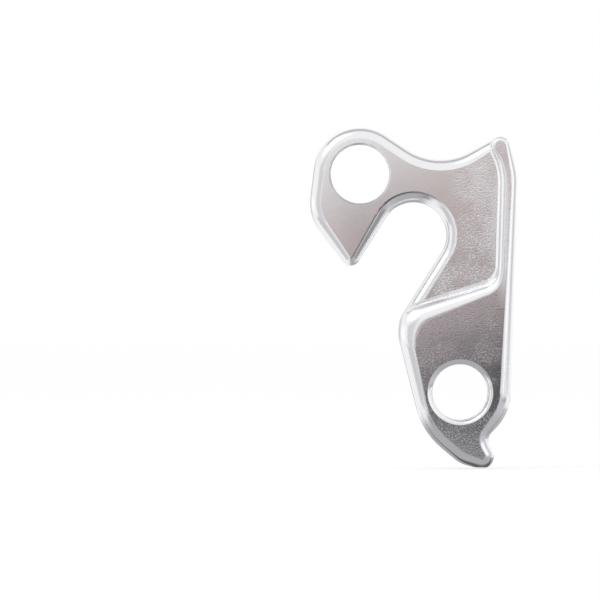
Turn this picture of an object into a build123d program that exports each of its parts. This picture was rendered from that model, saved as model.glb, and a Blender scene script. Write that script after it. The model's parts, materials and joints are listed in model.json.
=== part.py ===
import math
import os

from build123d import *

# Levels through the thickness in millimetres; Y = 0 is the floor that seats on the frame, +Y faces the wheel
plate_edge = 1.75
plate_wall = 0.55
outer_easing = 0.35
outer_edge = plate_edge - outer_easing
relief_depth = 0.9
plate_thickness = plate_edge + plate_wall + outer_edge + relief_depth
raised_height = 2.8

# Frame bolt hole, which is the origin, with its counterbore on the outer face
bolt_hole = Vector(0, 0)
bolt_radius = 4.7
bolt_break = 0.3
head_radius = 5.6
head_depth = 1.8
head_lip = 0.6

# Derailleur hole, bored for an M10 x 1 thread
mech_back = 16.0
mech_drop = 34.9
mech_hole = Vector(-mech_back, -mech_drop)
thread_minor_radius = 4.46
thread_mouth = 0.9

# Slot for the wheel axle
slot_back = 8.6
slot_drop = 9.75
axle_slot = Vector(-slot_back, -slot_drop)
slot_radius = 5.25

# Rounds that the outline runs round
lobe_radius = 7.45
hook_forward = 0.4
hook_drop = 4.5
hook_centre = Vector(hook_forward, -hook_drop)
hook_radius = 7.6
tip_flat = 0.1
tip_forward = 1.5
tip_drop = 13.15
tip_centre = Vector(tip_forward, -tip_drop)
tip_radius = outer_edge + tip_flat
knee_forward = 3.55
knee_rise = 9.5
knee_centre = mech_hole + Vector(knee_forward, knee_rise)
knee_radius = 6.3
heel_radius = 8.1
notch_radius = 1.7
notch_angle = 231.3
tab_radius = 1.95
tab_angle = -43.0
sole_radius = 5.15
sole_angle = 73.7
belly_radius = 12.2
belly_angle = 109.0
back_reach = 25.15
back_drop = 1.5
back_radius = 13.1
corner_radius = tip_radius
corner_angle = 150.2
neck_radius = 9.6

# Straights left between neighbouring rounds
short_gap = 0.1
corner_gap = 0.35
long_gap = 0.5
neck_end_gap = 1.0

# Step across the inner face and the rib along the rear edge, with the pocket between them
step_angle = -17.7
step_wall = 0.1
step_edge = raised_height - step_wall
pocket_radius = 3.0
rib_slimming = 0.3
rib_width = 2 * corner_radius - rib_slimming
brow_radius = 3.4
brow_angle = 22.3
shoulder_radius = 1.2

# Edge rounds, each drawn in a number of steps
edge_steps = 14
tip_easing = 0.05
tip_edge = outer_edge - tip_easing
rib_flat = 0.6
rib_edge = (rib_width - rib_flat) / 2
corner_edge = 0.65
foot_edge = 1.8
tab_edge = 1.5

# Width of the step's edge at the pocket, from which it swells to the crest at the top of the brow
pocket_edge = 2.1
crest_radius = 4.5
crest_back = 0.95
crest_drop = 1.9

# Bevel at the foot of the step and the rib, and how far the hidden ends of shapes tuck in under them
foot_bevel = 0.35
tuck = 0.1
brow_tuck = 1.0
brow_slip = 0.5
corner_tuck = 0.3
floor_reach = 8.0

# Derailleur seat, dished into the end of the outer face, which rolls down to it below the hook tip
roll_gap = 1.35
roll_length = 10.0
roll_foot_radius = 5.0
dish_radius = 11.4
dish_round = 1.2


def polar(centre, distance, angle):
    return centre + Vector(distance, 0).rotate(Axis.Z, angle)


def meeting(first, first_reach, second, second_reach):
    # The point at its distances from two others, on the left on the way from the first to the second
    span = second - first
    along = (span.length**2 + first_reach**2 - second_reach**2) / (2 * span.length)
    turn = math.atan2(span.Y, span.X) + math.acos(along / first_reach)
    return polar(first, first_reach, math.degrees(turn))


notch_centre = polar(mech_hole, heel_radius + notch_radius + short_gap, notch_angle)
tab_centre = polar(notch_centre, notch_radius + tab_radius + short_gap, tab_angle)
sole_centre = polar(tab_centre, sole_radius - tab_radius + long_gap, sole_angle)
belly_centre = polar(sole_centre, belly_radius - sole_radius + long_gap, belly_angle)
back_centre = Vector(back_radius - back_reach, -back_drop)
corner_centre = polar(back_centre, back_radius - corner_radius + corner_gap, corner_angle)

# Neck, between the corner and the lobe
corner_reach = corner_radius + neck_radius + neck_end_gap
lobe_reach = lobe_radius + neck_radius + long_gap
neck_centre = meeting(corner_centre, corner_reach, bolt_hole, lobe_reach)

# Brow where the step runs out at the slot, and the crest that it draws in to at the top
brow_centre = polar(knee_centre, knee_radius - brow_radius + short_gap, brow_angle)
crest_centre = knee_centre - Vector(crest_back, crest_drop)

# Rounds of the outline in turn: centre and radius, negative where the outline bends inwards
plate_outline = [
    (bolt_hole, lobe_radius),
    (hook_centre, hook_radius),
    (tip_centre, tip_radius),
    (axle_slot, -slot_radius),
    (brow_centre, brow_radius),
    (knee_centre, knee_radius),
    (belly_centre, belly_radius),
    (sole_centre, sole_radius),
    (tab_centre, tab_radius),
    (notch_centre, -notch_radius),
    (mech_hole, heel_radius),
    (back_centre, back_radius),
    (corner_centre, corner_radius),
    (neck_centre, -neck_radius),
]


def run(first, second):
    # Direction of the straight that touches two neighbouring rounds
    (start, start_radius), (end, end_radius) = first, second
    span = end - start
    return math.atan2(span.Y, span.X) - math.asin((start_radius - end_radius) / span.length)


def left_of(heading):
    return Vector(0, 1).rotate(Axis.Z, math.degrees(heading))


def draw_outline(rounds):
    # Straights that touch neighbouring rounds, joined by the arcs between them
    straights = []
    for first, second in zip(rounds, rounds[1:] + rounds[:1]):
        side = left_of(run(first, second))
        straights.append((first[0] + side * first[1], second[0] + side * second[1]))
    for (start, end), (following, _) in zip(straights, straights[1:] + straights[:1]):
        Line(start, end)
        TangentArc(end, following, tangent=end - start)


def inset(edge, depth):
    # How far an edge round stands back from the wall at a depth under the face
    if depth >= edge:
        return 0
    return edge - math.sqrt(edge**2 - (edge - depth) ** 2)


def eased(rounds, depth):
    # An outline drawn in as its edge rounds over; each round of it carries the edge round named third
    return [(centre, radius - inset(edge, depth)) for centre, radius, edge in rounds]


# Pocket corner, touching the inner side of the rib and the foot of the step, which touches the brow
step_side = Vector(0, 1).rotate(Axis.Z, step_angle)
step_run = step_side.rotate(Axis.Z, -90)
step_distance = (brow_centre - mech_hole).dot(step_side) + brow_radius
rib_side = left_of(run((mech_hole, heel_radius), (back_centre, back_radius)))
rib_run = rib_side.rotate(Axis.Z, -90)
rib_offset = heel_radius - rib_width - pocket_radius
step_offset = step_distance + pocket_radius - rib_offset * rib_side.dot(step_side)
pocket_corner = mech_hole + rib_side * rib_offset + rib_run * (step_offset / rib_run.dot(step_side))
under_foot = pocket_corner - rib_run * floor_reach

# Hollow where the rib widens to its round upper end, on the rib's inner side
inner_reach = math.hypot(back_radius - rib_width - shoulder_radius, short_gap)
end_reach = corner_radius + shoulder_radius + rib_edge - corner_edge + short_gap
shoulder_centre = meeting(back_centre, inner_reach, corner_centre, end_reach)

# Seating floor, whose outline leaves the plate's where the raised foot and rib cover it
brow_side = left_of(run((axle_slot, -slot_radius), (brow_centre, brow_radius)))
neck_side = left_of(run((corner_centre, corner_radius), (neck_centre, -neck_radius)))
floor_outline = [
    (bolt_hole, lobe_radius, plate_edge),
    (hook_centre, hook_radius, plate_edge),
    (tip_centre, tip_radius, tip_edge),
    (axle_slot, -slot_radius, plate_edge),
    (brow_centre + brow_side * tuck, brow_radius - tuck, plate_edge),
    (under_foot, rib_width + pocket_radius - tuck, plate_edge),
    (back_centre, back_radius - tuck, plate_edge),
    (corner_centre + neck_side * tuck, corner_radius - tuck, tip_edge),
    (neck_centre, -neck_radius, plate_edge),
]


def bevel_outline(growth):
    # Foot of the rib and the step, grown towards the pocket
    inner_side = left_of(run((corner_centre, corner_radius), (back_centre, rib_width - back_radius)))
    end_radius = corner_radius - corner_tuck
    inner_radius = back_radius - rib_width - growth
    return [
        (corner_centre + inner_side * (corner_tuck + growth), end_radius),
        (back_centre, -inner_radius),
        (pocket_corner, growth - pocket_radius),
        (brow_centre + step_side * (brow_tuck + growth) - step_run * brow_slip, brow_radius - brow_tuck),
        (under_foot, rib_width + pocket_radius - tuck),
        (back_centre, inner_radius + 2 * end_radius - short_gap),
    ]


def raised_outline(depth):
    # The pocket corner slides and the brow draws in to the crest, so that the step's edge swells
    turn = inset(step_edge, depth) / step_edge
    slide = (pocket_edge * turn - inset(rib_edge, depth)) / rib_run.dot(step_side)
    brow = brow_centre + (crest_centre - brow_centre) * turn
    knee = knee_centre + (crest_centre - Vector(0, long_gap) - knee_centre) * turn
    rounds = [
        (corner_centre, corner_radius, corner_edge),
        (shoulder_centre, -shoulder_radius, rib_edge),
        (back_centre, rib_width - back_radius, rib_edge),
        (pocket_corner - rib_run * slide, -pocket_radius, rib_edge),
        (brow, brow_radius + (crest_radius - brow_radius) * turn, 0),
        (knee, knee_radius + (crest_radius - knee_radius) * turn, 0),
        (belly_centre, belly_radius, foot_edge),
        (sole_centre, sole_radius, foot_edge),
        (tab_centre, tab_radius, tab_edge),
        (notch_centre, -notch_radius, tab_edge),
        (mech_hole, heel_radius, foot_edge),
        (back_centre, back_radius, rib_edge),
    ]
    return eased(rounds, depth)


def levels(edge):
    # Depths under a face at which an edge round is drawn, at even turns from the wall to the face
    return [edge * (1 - math.sin(math.pi / 2 * step / edge_steps)) for step in range(edge_steps + 1)]


def looks_out(face):
    # Whether a face looks along -Y more than sideways
    normal = face.normal_at()
    return -normal.Y > math.hypot(normal.X, normal.Z)


with BuildPart() as hanger:
    # Outer half of the plate
    with BuildSketch(Plane.XZ.offset(plate_edge)):
        with BuildLine():
            draw_outline(plate_outline)
        make_face()
    extrude(amount=plate_thickness - plate_edge)

    # Outer face rolling down to the derailleur seat
    seat_level = relief_depth - plate_thickness
    cut_level = -relief_depth - plate_thickness
    roll_start = tip_centre.Y - tip_radius - roll_gap
    roll_angle = 2 * math.atan(relief_depth / roll_length)
    roll_radius = roll_length / math.sin(roll_angle) - roll_foot_radius
    plate_box = hanger.part.bounding_box()
    with BuildSketch(Plane.YZ):
        with BuildLine():
            crest = JernArc((-plate_thickness, roll_start), (0, -1), roll_radius, math.degrees(roll_angle))
            foot = TangentArc(crest @ 1, (seat_level, roll_start - roll_length), tangent=crest % 1)
            Polyline(
                foot @ 1,
                (seat_level, plate_box.min.Z),
                (cut_level, plate_box.min.Z),
                (cut_level, roll_start),
                crest @ 0,
            )
        make_face()
    extrude(amount=plate_box.size.X, both=True, mode=Mode.SUBTRACT)

    # Edge round of the outer face
    fillet(hanger.faces().filter_by(looks_out).edges().filter_by(Axis.X, reverse=True), outer_edge)

    # Raised foot and rib: upright walls, then the part that rounds over
    with BuildSketch(Plane.XZ.offset(plate_edge)):
        with BuildLine():
            draw_outline(raised_outline(step_edge))
        make_face()
    extrude(amount=-plate_edge - step_wall)
    for depth in levels(step_edge):
        with BuildSketch(Plane.XZ.offset(depth - raised_height)):
            with BuildLine():
                draw_outline(raised_outline(depth))
            make_face()
    loft()

    # Inner half of the plate up to the seating floor, closing in as its edge rounds over
    for depth in levels(plate_edge):
        with BuildSketch(Plane.XZ.offset(depth)):
            with BuildLine():
                draw_outline(eased(floor_outline, depth))
            make_face()
    loft()

    # Bevelled foot of the step and the rib
    with BuildSketch(Plane.XZ.offset(plate_edge)):
        with BuildLine():
            draw_outline(bevel_outline(foot_bevel))
        make_face()
    extrude(amount=-plate_edge)
    for growth in (foot_bevel, 0):
        with BuildSketch(Plane.XZ.offset(growth - foot_bevel)):
            with BuildLine():
                draw_outline(bevel_outline(growth))
            make_face()
    loft(ruled=True)

    # Dished derailleur seat
    with BuildSketch(Plane.XY.offset(mech_hole.Y)):
        with BuildLine():
            floor = Line((mech_hole.X, seat_level), (mech_hole.X + dish_radius, seat_level))
            rise = JernArc(floor @ 1, (1, 0), dish_round, -90)
            Polyline(rise @ 1, ((rise @ 1).X, cut_level), (mech_hole.X, cut_level), floor @ 0)
        make_face()
    mech_axis = Axis((mech_hole.X, 0, mech_hole.Y), (0, 1, 0))
    revolve(axis=mech_axis, mode=Mode.SUBTRACT)

    # Frame bolt hole with its counterbore, lip and broken inner edge
    with BuildSketch(Plane.XY):
        with BuildLine():
            Polyline(
                (0, 0),
                (bolt_radius + bolt_break, 0),
                (bolt_radius, -bolt_break),
                (bolt_radius, head_depth - plate_thickness),
                (head_radius, head_depth - plate_thickness),
                (head_radius, head_lip - plate_thickness),
                (head_radius + head_lip, -plate_thickness),
                (0, -plate_thickness),
                close=True,
            )
        make_face()
    revolve(axis=Axis.Y, mode=Mode.SUBTRACT)

    # Derailleur hole with a rounded mouth on both faces
    with BuildSketch(Plane.XY.offset(mech_hole.Y)):
        with BuildLine():
            bore_side = mech_hole.X + thread_minor_radius
            outer_mouth = JernArc((bore_side + thread_mouth, seat_level), (-1, 0), thread_mouth, -90)
            bore = Line(outer_mouth @ 1, (bore_side, raised_height - thread_mouth))
            inner_mouth = JernArc(bore @ 1, (0, 1), thread_mouth, -90)
            Polyline(inner_mouth @ 1, (mech_hole.X, raised_height), (mech_hole.X, seat_level), outer_mouth @ 0)
        make_face()
    revolve(axis=mech_axis, mode=Mode.SUBTRACT)

hanger.part.label = "derailleur_hanger"
os.makedirs("parts", exist_ok=True)
export_step(hanger.part, "parts/derailleur_hanger.step")
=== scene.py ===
import json
import math

import bmesh
import bpy
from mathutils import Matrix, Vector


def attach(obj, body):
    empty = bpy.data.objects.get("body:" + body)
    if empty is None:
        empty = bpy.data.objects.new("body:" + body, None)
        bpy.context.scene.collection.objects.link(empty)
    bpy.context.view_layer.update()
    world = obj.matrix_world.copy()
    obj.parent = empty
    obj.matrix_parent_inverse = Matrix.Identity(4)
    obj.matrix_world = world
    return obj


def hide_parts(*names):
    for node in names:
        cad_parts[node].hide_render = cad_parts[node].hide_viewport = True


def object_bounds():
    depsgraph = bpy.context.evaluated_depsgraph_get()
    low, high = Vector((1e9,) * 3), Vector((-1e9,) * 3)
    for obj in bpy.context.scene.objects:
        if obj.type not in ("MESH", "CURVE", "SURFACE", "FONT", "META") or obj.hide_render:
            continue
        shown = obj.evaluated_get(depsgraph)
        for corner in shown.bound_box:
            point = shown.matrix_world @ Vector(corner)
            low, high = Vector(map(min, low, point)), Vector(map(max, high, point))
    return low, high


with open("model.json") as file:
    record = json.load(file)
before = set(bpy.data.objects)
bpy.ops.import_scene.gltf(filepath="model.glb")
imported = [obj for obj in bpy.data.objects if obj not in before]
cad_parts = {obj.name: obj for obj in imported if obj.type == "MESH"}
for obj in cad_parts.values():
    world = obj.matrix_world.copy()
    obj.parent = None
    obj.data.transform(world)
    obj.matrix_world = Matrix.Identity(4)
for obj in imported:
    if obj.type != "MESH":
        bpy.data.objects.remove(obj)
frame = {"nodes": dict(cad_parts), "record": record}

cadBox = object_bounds()
mm = 0.001
scene = bpy.context.scene
scene.view_settings.view_transform = "Standard"


def linear(hexColour):  # sRGB hex to linear RGBA
    shares = [int(hexColour[i:i + 2], 16) / 255 for i in (1, 3, 5)]
    return [s / 12.92 if s <= 0.04045 else ((s + 0.055) / 1.055) ** 2.4 for s in shares] + [1]


def addNode(tree, kind, settings={}, inputs={}):  # a node with its settings, then its values and links
    node = tree.nodes.new(kind)
    for name, value in settings.items():
        setattr(node, name, value)
    for key, value in inputs.items():
        if isinstance(value, bpy.types.NodeSocket):
            tree.links.new(value, node.inputs[key])
        else:
            node.inputs[key].default_value = value
    return node


def newMaterial(name):
    made = bpy.data.materials.new(name)
    made.use_nodes = True
    made.node_tree.nodes.clear()
    return made, made.node_tree


# Camera square on to the inner face, far off with a long lens, as both holes are seen straight through
cameraLook = {"place": (9.6, 1500, -20.16), "lens": 562.5, "sensor": 36, "nearest": 10}  # mm

lens = bpy.data.cameras.new("camera")
lens.lens = cameraLook["lens"]
lens.sensor_width = cameraLook["sensor"]
lens.clip_start = cameraLook["nearest"] * mm
camera = bpy.data.objects.new("camera", lens)
camera.location = [v * mm for v in cameraLook["place"]]
camera.rotation_euler = (math.radians(90), 0, math.radians(180))
scene.collection.objects.link(camera)
scene.camera = camera
print("camera set")


# Aluminium, die cast, tumbled and satin polished. Polishing gives the rolled edges a soft blurred mirror.
# The flats keep the casting's grain, fine pits that sparkle, most of all in the corner of the pocket, where
# the tumbling media can't reach.
alloy = {
    "polished": "#efeff1",
    "pitted": "#c9c7c6",
    "edgeRoughness": 0.17,
    "faceRoughness": 0.15,
    "grainRoughness": 0.27,
    "squareness": (0.98, 0.9995),  # how squarely a spot faces Y where the flats' finish starts, and is full
    "grainSize": 0.28,           # mm; real grain is nearer 0.1 mm, drawn coarser so that it shows
    "grainDepth": 0.038,         # mm
    "pitHeights": (0.5, 0.75),   # where in the noise a pit starts, and is full
    "grainLevels": [(-4.6, 0.08), (-3.7, 0.2), (0.0, 1.0), (2.8, 0.27)],  # Y in mm, how grainy it is
    "pocketX": (-13, -20),       # mm, where the pocket's grain starts and is full, towards the rib
    "pocketZ": (-13, -17),       # mm, and towards the step
    "pocketLeast": 0.06,         # the share of it that the rest of the seating floor has
    "offFloor": (0.05, 0.3),     # mm from the seating floor, past which a flat has its grain all over
    "patchSize": 4.0,            # mm, over which the grain comes and goes
    "patchHeights": (0.38, 0.62),  # where in the noise the grain is least, and most
    "patchShares": (0.35, 1.1),    # how much of it there is then
    "waveSize": 3.0,             # mm, the slow waviness that tumbling leaves
    "waveDepth": 0.006,          # mm
}

satin, tree = newMaterial("cast satin aluminium")
place = addNode(tree, "ShaderNodeTexCoord").outputs
spot = addNode(tree, "ShaderNodeSeparateXYZ", {}, {0: place["Object"]}).outputs
facing = addNode(tree, "ShaderNodeSeparateXYZ", {}, {0: place["Normal"]}).outputs["Y"]
facing = addNode(tree, "ShaderNodeMath", {"operation": "ABSOLUTE"}, {0: facing}).outputs[0]
flat = addNode(tree, "ShaderNodeMapRange", {"interpolation_type": "SMOOTHSTEP"}, {
    "Value": facing, "From Min": alloy["squareness"][0], "From Max": alloy["squareness"][1],
    "To Min": 0, "To Max": 1}).outputs[0]

# How grainy each flat is, by its level, its place on the seating floor and the patches
low, high = alloy["grainLevels"][0][0], alloy["grainLevels"][-1][0]
level = addNode(tree, "ShaderNodeMapRange", {}, {
    "Value": spot["Y"], "From Min": low * mm, "From Max": high * mm}).outputs[0]
amounts = addNode(tree, "ShaderNodeValToRGB", {}, {0: level})
for i, (at, amount) in enumerate(alloy["grainLevels"]):
    stops = amounts.color_ramp.elements
    stop = stops[0] if i == 0 else stops[-1] if at == high else stops.new((at - low) / (high - low))
    stop.color = (amount, amount, amount, 1)
offFloor = addNode(tree, "ShaderNodeMath", {"operation": "ABSOLUTE"}, {0: spot["Y"]}).outputs[0]
notFloor = addNode(tree, "ShaderNodeMapRange", {"interpolation_type": "SMOOTHSTEP"}, {
    "Value": offFloor, "From Min": alloy["offFloor"][0] * mm, "From Max": alloy["offFloor"][1] * mm,
    "To Min": 0, "To Max": 1}).outputs[0]
byRib = addNode(tree, "ShaderNodeMapRange", {"interpolation_type": "SMOOTHSTEP"}, {
    "Value": spot["X"], "From Min": alloy["pocketX"][0] * mm, "From Max": alloy["pocketX"][1] * mm,
    "To Min": alloy["pocketLeast"], "To Max": 1}).outputs[0]
byStep = addNode(tree, "ShaderNodeMapRange", {"interpolation_type": "SMOOTHSTEP"}, {
    "Value": spot["Z"], "From Min": alloy["pocketZ"][0] * mm, "From Max": alloy["pocketZ"][1] * mm,
    "To Min": alloy["pocketLeast"], "To Max": 1}).outputs[0]
inPocket = addNode(tree, "ShaderNodeMath", {"operation": "MAXIMUM"}, {0: byRib, 1: byStep}).outputs[0]
zone = addNode(tree, "ShaderNodeMath", {"operation": "MAXIMUM"}, {0: inPocket, 1: notFloor}).outputs[0]
zone = addNode(tree, "ShaderNodeMath", {"operation": "MULTIPLY"}, {0: zone, 1: flat}).outputs[0]
patch = addNode(tree, "ShaderNodeTexNoise", {}, {
    "Vector": place["Object"], "Scale": 1 / (alloy["patchSize"] * mm), "Detail": 2, "Roughness": 0.6})
patch = addNode(tree, "ShaderNodeMapRange", {}, {
    "Value": patch.outputs[0], "From Min": alloy["patchHeights"][0], "From Max": alloy["patchHeights"][1],
    "To Min": alloy["patchShares"][0], "To Max": alloy["patchShares"][1]}).outputs[0]
zone = addNode(tree, "ShaderNodeMath", {"operation": "MULTIPLY"}, {0: zone, 1: patch}).outputs[0]
grainy = addNode(tree, "ShaderNodeMath", {"operation": "MULTIPLY"}, {
    0: zone, 1: amounts.outputs[0]}).outputs[0]

smoothness = addNode(tree, "ShaderNodeMapRange", {}, {
    "Value": flat, "To Min": alloy["edgeRoughness"], "To Max": alloy["faceRoughness"]}).outputs[0]
roughness = addNode(tree, "ShaderNodeMix", {"data_type": "FLOAT"}, {
    0: grainy, 2: smoothness, 3: alloy["grainRoughness"]}).outputs[0]
grain = addNode(tree, "ShaderNodeTexNoise", {}, {
    "Vector": place["Object"], "Scale": 1 / (alloy["grainSize"] * mm), "Detail": 1, "Roughness": 0.5})
pits = addNode(tree, "ShaderNodeMapRange", {"interpolation_type": "SMOOTHSTEP"}, {
    "Value": grain.outputs[0],
    "From Min": alloy["pitHeights"][0], "From Max": alloy["pitHeights"][1]}).outputs[0]
pitted = addNode(tree, "ShaderNodeMath", {"operation": "MULTIPLY"}, {0: pits, 1: grainy}).outputs[0]
colour = addNode(tree, "ShaderNodeMix", {"data_type": "RGBA"}, {
    0: pitted, 6: linear(alloy["polished"]), 7: linear(alloy["pitted"])}).outputs[2]
wave = addNode(tree, "ShaderNodeTexNoise", {}, {
    "Vector": place["Object"], "Scale": 1 / (alloy["waveSize"] * mm), "Detail": 2, "Roughness": 0.5})
waveBump = addNode(tree, "ShaderNodeBump", {}, {
    "Height": wave.outputs[0], "Distance": alloy["waveDepth"] * mm, "Strength": 1.0})
grainBump = addNode(tree, "ShaderNodeBump", {"invert": True}, {
    "Height": pits, "Distance": alloy["grainDepth"] * mm, "Strength": grainy, "Normal": waveBump.outputs[0]})
surface = addNode(tree, "ShaderNodeBsdfPrincipled", {}, {
    "Base Color": colour, "Metallic": 1.0, "Roughness": roughness, "Normal": grainBump.outputs[0]})
addNode(tree, "ShaderNodeOutputMaterial", {}, {"Surface": surface.outputs[0]})
print("aluminium made")


# M10 x 1 thread cut in the derailleur hole, running out into the rounded mouth on each face; sizes in mm
mounts = {m["name"]: m for m in frame["record"]["mounts"]}
thread = {
    "axis": [v / mm for v in mounts["derailleur_thread"]["pos_m"]],
    "outerFace": mounts["derailleur_seat"]["pos_m"][1] / mm,
    "innerFace": cadBox[1].y / mm,
    "minorRadius": mounts["derailleur_thread"]["dims"]["r_mm"],
    "majorRadius": 5.0,
    "pitch": 1.0,
    "mouth": 0.9,
    "around": 128,
    "along": 220,
    "endGap": 0.002,       # left at each end for the strip that joins the wall to the face
    "weld": 0.001,         # closes the wall where its two sides meet
}


def threadTree():
    made = bpy.data.node_groups.new("thread wall", "GeometryNodeTree")
    sockets = made.interface
    sockets.new_socket("Geometry", in_out="OUTPUT", socket_type="NodeSocketGeometry")
    sockets.new_socket("Geometry", in_out="INPUT", socket_type="NodeSocketGeometry")
    for name in ("Axis X", "Axis Z", "Start", "End", "Outer Mouth", "Inner Mouth", "Mouth", "Minor Radius",
                 "Major Radius", "Pitch", "Weld"):
        sockets.new_socket(name, in_out="INPUT", socket_type="NodeSocketFloat")
    for name in ("Around", "Along"):
        sockets.new_socket(name, in_out="INPUT", socket_type="NodeSocketInt")
    sockets.new_socket("Material", in_out="INPUT", socket_type="NodeSocketMaterial")
    given = addNode(made, "NodeGroupInput").outputs
    grid = addNode(made, "GeometryNodeMeshGrid", {}, {
        "Size X": 1, "Size Y": 1, "Vertices X": given["Around"], "Vertices Y": given["Along"]})
    spot = addNode(made, "ShaderNodeSeparateXYZ", {}, {
        0: addNode(made, "GeometryNodeInputPosition").outputs[0]}).outputs
    share = addNode(made, "ShaderNodeMath", {"operation": "ADD"}, {0: spot["X"], 1: 0.5}).outputs[0]
    angle = addNode(made, "ShaderNodeMath", {"operation": "MULTIPLY"}, {0: share, 1: 2 * math.pi}).outputs[0]
    # Rows crowd towards both ends, where the mouths turn fastest
    sweep = addNode(made, "ShaderNodeMath", {"operation": "MULTIPLY"}, {0: spot["Y"], 1: math.pi}).outputs[0]
    crowd = addNode(made, "ShaderNodeMath", {"operation": "SINE"}, {0: sweep}).outputs[0]
    depth = addNode(made, "ShaderNodeMapRange", {}, {
        "Value": crowd, "From Min": -1, "From Max": 1,
        "To Min": given["Start"], "To Max": given["End"]}).outputs[0]
    # Right-hand helix: how far through a turn each point is, and how far from the groove's middle
    turns = addNode(made, "ShaderNodeMath", {"operation": "DIVIDE"}, {
        0: depth, 1: given["Pitch"]}).outputs[0]
    phase = addNode(made, "ShaderNodeMath", {"operation": "ADD"}, {0: turns, 1: share}).outputs[0]
    turn = addNode(made, "ShaderNodeMath", {"operation": "FLOORED_MODULO"}, {0: phase, 1: 1}).outputs[0]
    middle = addNode(made, "ShaderNodeMath", {"operation": "SUBTRACT"}, {0: turn, 1: 0.5}).outputs[0]
    away = addNode(made, "ShaderNodeMath", {"operation": "ABSOLUTE"}, {0: middle}).outputs[0]
    # 60 degree flanks between a root an eighth of the pitch wide and a crest a quarter of it
    groove = addNode(made, "ShaderNodeMapRange", {}, {
        "Value": away, "From Min": 1 / 16, "From Max": 3 / 8,
        "To Min": given["Major Radius"], "To Max": given["Minor Radius"]}).outputs[0]
    # Quarter rounds at both mouths, which the thread runs out into
    outerRise = addNode(made, "ShaderNodeMath", {"operation": "SUBTRACT"}, {
        0: given["Outer Mouth"], 1: depth}).outputs[0]
    innerRise = addNode(made, "ShaderNodeMath", {"operation": "SUBTRACT"}, {
        0: depth, 1: given["Inner Mouth"]}).outputs[0]
    rise = addNode(made, "ShaderNodeMath", {"operation": "MAXIMUM"}, {0: outerRise, 1: innerRise}).outputs[0]
    lift = addNode(made, "ShaderNodeMapRange", {}, {
        "Value": rise, "From Min": 0, "From Max": given["Mouth"]}).outputs[0]
    square = addNode(made, "ShaderNodeMath", {"operation": "MULTIPLY"}, {0: lift, 1: lift}).outputs[0]
    under = addNode(made, "ShaderNodeMath", {"operation": "SUBTRACT"}, {0: 1, 1: square}).outputs[0]
    root = addNode(made, "ShaderNodeMath", {"operation": "SQRT"}, {0: under}).outputs[0]
    flare = addNode(made, "ShaderNodeMath", {"operation": "SUBTRACT"}, {0: 1, 1: root}).outputs[0]
    mouth = addNode(made, "ShaderNodeMath", {"operation": "MULTIPLY_ADD"}, {
        0: flare, 1: given["Mouth"], 2: given["Minor Radius"]}).outputs[0]
    radius = addNode(made, "ShaderNodeMath", {"operation": "MAXIMUM"}, {0: groove, 1: mouth}).outputs[0]
    # The flat grid is wound round the hole's axis
    cosine = addNode(made, "ShaderNodeMath", {"operation": "COSINE"}, {0: angle}).outputs[0]
    sine = addNode(made, "ShaderNodeMath", {"operation": "SINE"}, {0: angle}).outputs[0]
    x = addNode(made, "ShaderNodeMath", {"operation": "MULTIPLY_ADD"}, {
        0: cosine, 1: radius, 2: given["Axis X"]}).outputs[0]
    z = addNode(made, "ShaderNodeMath", {"operation": "MULTIPLY_ADD"}, {
        0: sine, 1: radius, 2: given["Axis Z"]}).outputs[0]
    point = addNode(made, "ShaderNodeCombineXYZ", {}, {"X": x, "Y": depth, "Z": z}).outputs[0]
    wound = addNode(made, "GeometryNodeSetPosition", {}, {
        "Geometry": grid.outputs["Mesh"], "Position": point}).outputs[0]
    closed = addNode(made, "GeometryNodeMergeByDistance", {}, {
        "Geometry": wound, "Distance": given["Weld"]}).outputs[0]
    whole = addNode(made, "GeometryNodeRealizeInstances", {}, {"Geometry": closed}).outputs[0]
    dressed = addNode(made, "GeometryNodeSetMaterial", {}, {
        "Geometry": whole, "Material": given["Material"]}).outputs[0]
    addNode(made, "NodeGroupOutput", {}, {"Geometry": dressed})
    return made


def threadMesh():
    holder = bpy.data.objects.new("threadWall", bpy.data.meshes.new("threadWall"))
    scene.collection.objects.link(holder)
    wall = holder.modifiers.new("thread", "NODES")
    wall.node_group = threadTree()
    sizes = {
        "Axis X": thread["axis"][0] * mm,
        "Axis Z": thread["axis"][2] * mm,
        "Start": (thread["outerFace"] + thread["endGap"]) * mm,
        "End": (thread["innerFace"] - thread["endGap"]) * mm,
        "Outer Mouth": (thread["outerFace"] + thread["mouth"]) * mm,
        "Inner Mouth": (thread["innerFace"] - thread["mouth"]) * mm,
        "Mouth": thread["mouth"] * mm,
        "Minor Radius": thread["minorRadius"] * mm,
        "Major Radius": thread["majorRadius"] * mm,
        "Pitch": thread["pitch"] * mm,
        "Weld": thread["weld"] * mm,
        "Around": thread["around"] + 1,
        "Along": thread["along"],
        "Material": satin,
    }
    for socket in wall.node_group.interface.items_tree:
        if socket.in_out == "INPUT" and socket.name in sizes:
            wall[socket.identifier] = sizes[socket.name]
    evaluated = holder.evaluated_get(bpy.context.evaluated_depsgraph_get())
    mesh = bpy.data.meshes.new_from_object(evaluated)
    holder.modifiers.remove(wall)
    bpy.data.objects.remove(holder)
    print("thread wound, faces", len(mesh.polygons))
    return mesh


# The hanger: the frame's own shell with the plain bore cut out and the threaded wall joined in; sizes in mm
shellLook = {
    "weld": 0.0001,        # joins the frame's loose triangles
    "boreSlack": 0.001,    # past the mouth's rim, for what is still the bore's
    "rimSlack": 0.01,      # past it, for what is still the rim
    "sharpAngle": 35,      # degrees
}
mouthRadius = (thread["minorRadius"] + thread["mouth"]) * mm


def fromAxis(vert):
    return math.hypot(vert.co.x - thread["axis"][0] * mm, vert.co.z - thread["axis"][2] * mm)


def onRim(vert, face):
    level = abs(vert.co.y - face * mm) < 2 * thread["endGap"] * mm
    return level and fromAxis(vert) < mouthRadius + shellLook["rimSlack"] * mm


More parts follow.
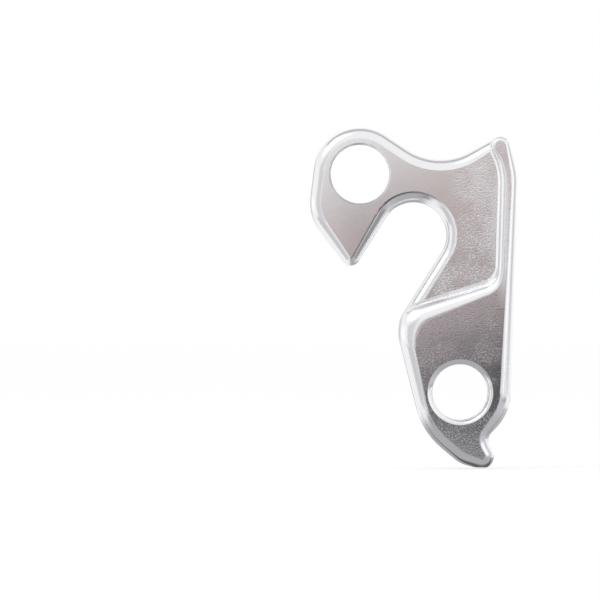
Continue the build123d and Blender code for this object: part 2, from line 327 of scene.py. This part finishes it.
# The frame's normals go along with its corners, so that its flats stay flat beside its rounds
source = frame["nodes"]["derailleur_hanger"].data
shellMesh = source.copy()
kept = shellMesh.attributes.new("keptNormal", "FLOAT_VECTOR", "CORNER")
normals = [0.0] * (3 * len(source.loops))
source.corner_normals.foreach_get("vector", normals)
kept.data.foreach_set("vector", normals)

shell = bmesh.new()
shell.from_mesh(shellMesh)
bmesh.ops.remove_doubles(shell, verts=shell.verts, dist=shellLook["weld"] * mm)
boreReach = mouthRadius + shellLook["boreSlack"] * mm
bore = [f for f in shell.faces if all(fromAxis(v) < boreReach for v in f.verts)]
bmesh.ops.delete(shell, geom=bore, context="FACES")
shell.from_mesh(threadMesh())
for face in (thread["outerFace"], thread["innerFace"]):
    rims = [e for e in shell.edges if e.is_boundary and all(onRim(v, face) for v in e.verts)]
    bmesh.ops.bridge_loops(shell, edges=rims)
bmesh.ops.recalc_face_normals(shell, faces=shell.faces)
openEdges = sum(not e.is_manifold for e in shell.edges)
print("open edges", openEdges, "volume mm3", round(shell.calc_volume(signed=True) / mm ** 3, 1))
for f in shell.faces:
    f.smooth = True
    f.material_index = 0
shell.to_mesh(shellMesh)
shell.free()

kept = shellMesh.attributes["keptNormal"]
normals = [0.0] * (3 * len(shellMesh.loops))
kept.data.foreach_get("vector", normals)
shellMesh.attributes.remove(kept)
shellMesh.set_sharp_from_angle(angle=math.radians(shellLook["sharpAngle"]))
shellMesh.normals_split_custom_set([normals[i:i + 3] for i in range(0, len(normals), 3)])
shellMesh.materials.clear()
shellMesh.materials.append(satin)
hanger = bpy.data.objects.new("threaded_hanger", shellMesh)
scene.collection.objects.link(hanger)
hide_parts("derailleur_hanger")
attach(hanger, "root")
print("hanger made, faces", len(shellMesh.polygons))


# White room. Cards that only the metal sees stand in it, as a photographer sets them, fading out over a
# soft edge; the shadow card among them is a painted contact shadow. Each lies flat in the direction that
# has one number; mm from the bolt hole. Several shades are given by height, which a lean tilts by so much
# for each mm of X. White is how many times white a card shines, where that isn't 1, and a card for both
# sides is set behind the hanger too.
floor = cadBox[0].z / mm
cards = {
    "face": {"x": (-60, 22), "y": 130, "z": (-90, 40), "soft": 20, "lean": 0.4, "shades": [
        (-58, "#4e4e52"), (-51, "#242428"), (-45, "#242428"), (-41, "#38383c"), (-37, "#5c5a5f"),
        (-33, "#928c8e"), (-28, "#c6baba"), (-16, "#bdaaa9"), (-6, "#c3b4b2"), (2, "#dcd8d7"),
        (12, "#ffffff")]},
    "slotEdge": {"x": (-10, 3), "y": 128, "z": (-18, -2), "soft": 6, "shade": "#7e7678"},
    "outer": {"x": (-60, 22), "y": -130, "z": (-90, 40), "soft": 20, "lean": 0.4, "shades": [
        (-58, "#8a888a"), (-48, "#706e72"), (-40, "#7c7a7d"), (-32, "#a8a1a2"), (-24, "#c8bfbe"),
        (-8, "#d4cdcb"), (2, "#e4e0de"), (12, "#ffffff")]},
    "hookFront": {"x": (22, 190), "y": 130, "z": (-90, 50), "soft": 25, "shade": "#dcdcdc", "both": True},
    "ribStrip": {"x": (-155, -90), "y": 130, "z": (-60, 90), "soft": 18, "shade": "#ffffff", "both": True,
                 "white": 1.25},
    "kerb": {"x": (-190, 40), "y": 132, "z": (-90, -38), "soft": 8, "shade": "#a2a2a5", "both": True},
    "ribSide": {"x": -250, "y": (-40, 130), "z": (-90, 120), "soft": 20, "shade": "#d6d6d8"},
    "ceiling": {"x": (-300, 300), "y": (-170, 40), "z": 250, "soft": 40, "shade": "#c6c6c8"},
    "hookLamp": {"x": 260, "y": (-110, 85), "z": (-90, 40), "soft": 25, "shade": "#ffffff", "white": 1.15},
    "foot": {"x": (-42, 12), "y": (-145, 145), "z": floor + 0.2, "soft": 16, "shade": "#b4b4b6"},
    "footRib": {"x": (-52, -28), "y": (-145, 145), "z": floor + 0.15, "soft": 4, "shade": "#cccccf"},
    "footFar": {"x": (-110, -46), "y": (10, 145), "z": floor + 0.1, "soft": 8, "shade": "#929296"},
    "footHook": {"x": (16, 130), "y": (20, 145), "z": floor + 0.1, "soft": 14, "shade": "#d2d2d4"},
    "tip": {"x": (-3, 10), "y": (22, 145), "z": floor + 0.25, "soft": 5, "shade": "#7c7c80"},
    "crest": {"x": (-24.15, -22.1), "y": 9, "z": (-22, 4), "soft": 0.7, "shades": [
        (-20.5, "#aca2a3"), (-15, "#ececee"), (-4, "#f4f4f5"), (3, "#c4bcbb")]},
    "heel": {"x": -44, "y": (8, 110), "z": (-60, -40), "soft": 2, "shade": "#cccccf"},
    # Painted contact shadow: a dark strip on the floor just under the hanger's foot, seen only in the metal
    "shadow": {"x": (-60, 30), "y": (1.2, 3.0), "z": floor + 0.3, "soft": 0.8, "shade": "#5c5c5f"},
}
studio = {
    "white": "#ffffff",
    "floorPaint": "#fdfdfd",
    "floorGlow": 0.6,      # share of the floor shown plain white
    "floorReach": 4000,    # mm
    "leastHeight": 0.001,  # mm, that a card's shades spread over at the top
}

room = bpy.data.worlds.new("white room")
scene.world = room
room.use_nodes = True
room.node_tree.nodes.clear()
walls = addNode(room.node_tree, "ShaderNodeBackground", {}, {
    "Color": linear(studio["white"]), "Strength": 1.0})
addNode(room.node_tree, "ShaderNodeOutputWorld", {}, {"Surface": walls.outputs[0]})

# Board, painted matt white: the eye and the metal see it near plain white, with the hanger's shadow on it
floorPaint, tree = newMaterial("white painted board")
ray = addNode(tree, "ShaderNodeLightPath").outputs
mirror = addNode(tree, "ShaderNodeMath", {"operation": "MAXIMUM"}, {
    0: ray["Is Glossy Ray"], 1: ray["Is Transmission Ray"]}).outputs[0]
seen = addNode(tree, "ShaderNodeMath", {"operation": "MAXIMUM"}, {
    0: ray["Is Camera Ray"], 1: mirror}).outputs[0]
glow = addNode(tree, "ShaderNodeMath", {"operation": "MULTIPLY"}, {
    0: seen, 1: studio["floorGlow"]}).outputs[0]
matt = addNode(tree, "ShaderNodeBsdfDiffuse", {}, {"Color": linear(studio["floorPaint"])}).outputs[0]
white = addNode(tree, "ShaderNodeEmission", {}, {
    "Color": linear(studio["white"]), "Strength": 1.0}).outputs[0]
shown = addNode(tree, "ShaderNodeMixShader", {}, {0: glow, 1: matt, 2: white})
addNode(tree, "ShaderNodeOutputMaterial", {}, {"Surface": shown.outputs[0]})


def addBoard(name, spans, paint):
    spans = [span if isinstance(span, tuple) else (span, span) for span in spans]
    flatAxis = next(i for i in range(3) if spans[i][0] == spans[i][1])
    first, second = [i for i in range(3) if i != flatAxis]
    corners = []
    for ends in ((0, 0), (1, 0), (1, 1), (0, 1)):
        corner = [0, 0, 0]
        corner[flatAxis] = spans[flatAxis][0] * mm
        corner[first] = spans[first][ends[0]] * mm
        corner[second] = spans[second][ends[1]] * mm
        corners.append(corner)
    mesh = bpy.data.meshes.new(name)
    mesh.from_pydata(corners, [], [(0, 1, 2, 3)])
    mesh.materials.append(paint)
    made = bpy.data.objects.new(name, mesh)
    scene.collection.objects.link(made)
    return made


def cardPaint(name, look, spans):
    made, tree = newMaterial("soft edged card " + name)
    at = addNode(tree, "ShaderNodeSeparateXYZ", {}, {
        0: addNode(tree, "ShaderNodeTexCoord").outputs["Object"]}).outputs
    shades = look.get("shades") or [(0, look["shade"])]
    bottom, top = shades[0][0], shades[-1][0] + studio["leastHeight"]
    leaning = addNode(tree, "ShaderNodeMath", {"operation": "MULTIPLY_ADD"}, {
        0: at["X"], 1: look.get("lean", 0), 2: at["Z"]}).outputs[0]
    height = addNode(tree, "ShaderNodeMapRange", {}, {
        "Value": leaning, "From Min": bottom * mm, "From Max": top * mm}).outputs[0]
    shade = addNode(tree, "ShaderNodeValToRGB", {}, {0: height})
    stops = shade.color_ramp.elements
    stops.remove(stops[1])
    for i, (level, colour) in enumerate(shades):
        stop = stops[0] if i == 0 else stops.new((level - bottom) / (top - bottom))
        stop.color = linear(colour)
    fade = 1.0
    for axis, span in zip("XYZ", spans):
        if isinstance(span, tuple):
            middle, half = (span[0] + span[1]) / 2 * mm, (span[1] - span[0]) / 2 * mm
            off = addNode(tree, "ShaderNodeMath", {"operation": "SUBTRACT"}, {
                0: at[axis], 1: middle}).outputs[0]
            away = addNode(tree, "ShaderNodeMath", {"operation": "ABSOLUTE"}, {0: off}).outputs[0]
            part = addNode(tree, "ShaderNodeMapRange", {"interpolation_type": "SMOOTHSTEP"}, {
                "Value": away, "From Min": half - look["soft"] * mm, "From Max": half,
                "To Min": 1, "To Max": 0}).outputs[0]
            fade = addNode(tree, "ShaderNodeMath", {"operation": "MULTIPLY"}, {0: fade, 1: part}).outputs[0]
    clear = addNode(tree, "ShaderNodeBsdfTransparent").outputs[0]
    lit = addNode(tree, "ShaderNodeEmission", {}, {
        "Color": shade.outputs[0], "Strength": look.get("white", 1.0)}).outputs[0]
    shown = addNode(tree, "ShaderNodeMixShader", {}, {0: fade, 1: clear, 2: lit})
    addNode(tree, "ShaderNodeOutputMaterial", {}, {"Surface": shown.outputs[0]})
    return made


wide = (-studio["floorReach"], studio["floorReach"])
addBoard("floor", [wide, wide, floor], floorPaint)
for name, look in cards.items():
    for side in (1, -1) if look.get("both") else (1, ):
        spans = [look["x"], look["y"] if side == 1 else -look["y"], look["z"]]
        sideName = name if side == 1 else name + "Behind"
        card = addBoard(sideName, spans, cardPaint(sideName, look, spans))
        card.visible_camera = False
        card.visible_shadow = False
        card.visible_diffuse = False

# One large soft lamp above the hook's side, level with the room
lampLook = {"place": (350, 300, 450), "size": 400, "white": 1.0}  # mm, and how white its face shows
soft = bpy.data.lights.new("softBox", "AREA")
soft.size = lampLook["size"] * mm
soft.energy = lampLook["white"] * math.pi * soft.size ** 2
lamp = bpy.data.objects.new("softBox", soft)
lamp.location = [v * mm for v in lampLook["place"]]
lamp.rotation_euler = (-lamp.location).to_track_quat("-Z", "Y").to_euler()
scene.collection.objects.link(lamp)
print("studio set")
